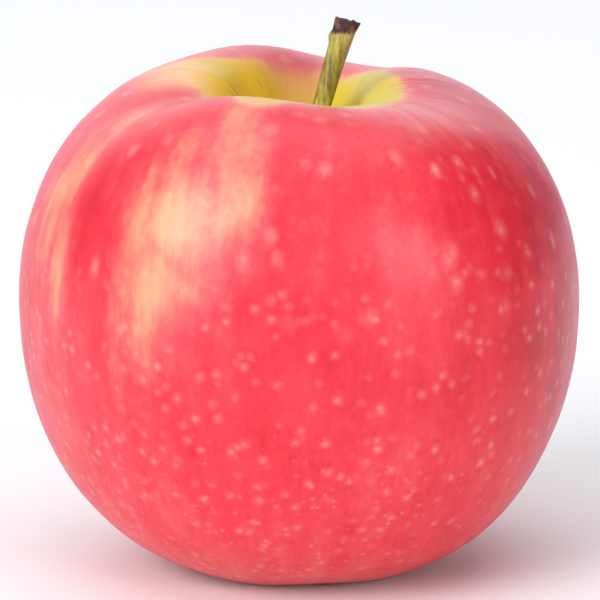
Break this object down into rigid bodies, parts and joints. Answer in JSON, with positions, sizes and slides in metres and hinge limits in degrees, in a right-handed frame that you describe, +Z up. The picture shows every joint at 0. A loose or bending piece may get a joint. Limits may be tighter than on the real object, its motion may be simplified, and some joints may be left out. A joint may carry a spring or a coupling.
{
  "type": "apple",
  "caption": "Whole ripe pink-red apple with its woody stem in a deep stem cavity, standing on the crown round its dried calyx.",
  "frame": {"origin": "on the surface that the apple stands on, under the middle of its box", "axes": "+Z up along the fruit's core axis, -Y towards the viewer, +X to the viewer's right; the stem leans towards +X"},
  "size_m": [0.079, 0.0774, 0.0775],
  "materials": {
    "skin": "smooth waxy fruit skin, pink-red over cream-yellow, with fine pale dots",
    "stem_wood": "olive-green to brown woody stalk with a dark dry cut end",
    "dried_sepal": "dry, brittle, downy grey-brown leaf",
    "dried_stamen": "dry dark-brown fibres"
  },
  "bodies": {
    "root": {"fruit": "skin", "stem": "stem_wood", "sepal_1": "dried_sepal", "sepal_2": "dried_sepal", "sepal_3": "dried_sepal", "sepal_4": "dried_sepal", "sepal_5": "dried_sepal", "stamen_tuft": "dried_stamen"}
  },
  "joints": []
}
